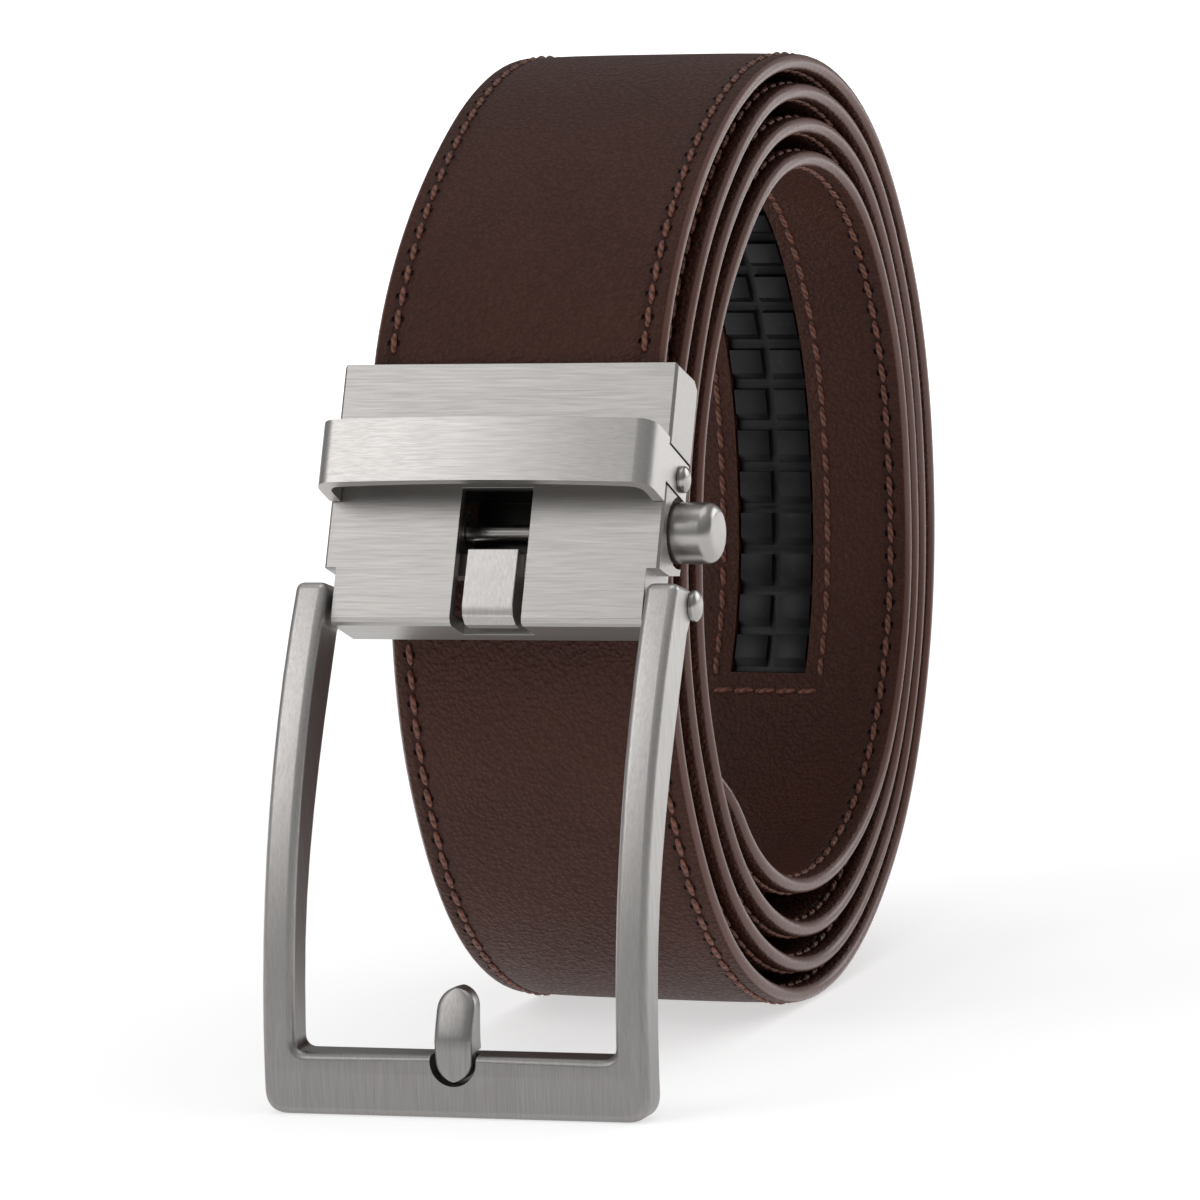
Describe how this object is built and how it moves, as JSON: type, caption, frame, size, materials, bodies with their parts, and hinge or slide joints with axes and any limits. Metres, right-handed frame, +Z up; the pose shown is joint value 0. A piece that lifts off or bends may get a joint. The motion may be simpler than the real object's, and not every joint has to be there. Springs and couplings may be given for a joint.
{
  "type": "ratchet belt",
  "caption": "Stitched leather belt rolled up on its edge, with a toothed track in the strap's inner face and an automatic buckle with a side release knob, keeper bar and hinged frame.",
  "frame": {"origin": "on the surface that the belt stands on, under the middle of its bounding box", "axes": "+X across the strap, towards the release knob; +Y from the buckle towards the back of the roll; +Z up"},
  "size_m": [0.0486, 0.1246, 0.1104],
  "materials": {
    "leather": "fine pebbled, low sheen, with painted edges",
    "track_plastic": "satin black",
    "satin_nickel": "brushed",
    "polished_nickel": "polished"
  },
  "bodies": {
    "buckle": {"strap": "leather", "ratchet_track": "track_plastic", "housing": "satin_nickel", "clamp_plate": "satin_nickel", "keeper_bar": "satin_nickel", "keeper_rivet_right": "polished_nickel", "keeper_rivet_left": "polished_nickel", "frame_rivet_right": "polished_nickel", "frame_rivet_left": "polished_nickel"},
    "release": {"release_knob": "polished_nickel"},
    "pawl": {"pawl": "satin_nickel"},
    "frame": {"frame": "satin_nickel", "prong": "satin_nickel"}
  },
  "joints": [
    {"name": "frame_hinge", "type": "hinge", "parent": "buckle", "child": "frame", "pos_m": [-0.00045, -0.04109, 0.05393], "axis": [1, 0, 0], "range_deg": [-12, 20]},
    {"name": "release_push", "type": "slide", "parent": "buckle", "child": "release", "axis": [-1, 0, 0], "range_m": [0, 0.0022], "stiffness_N_per_m": 400},
    {"name": "pawl_retract", "type": "hinge", "parent": "buckle", "child": "pawl", "pos_m": [-0.00045, -0.03677, 0.06144], "axis": [1, 0, 0], "range_deg": [0, 6]}
  ],
  "couplings": [
    {"joint": "pawl_retract", "follows": "release_push", "rad_per_m": 47.59}
  ]
}
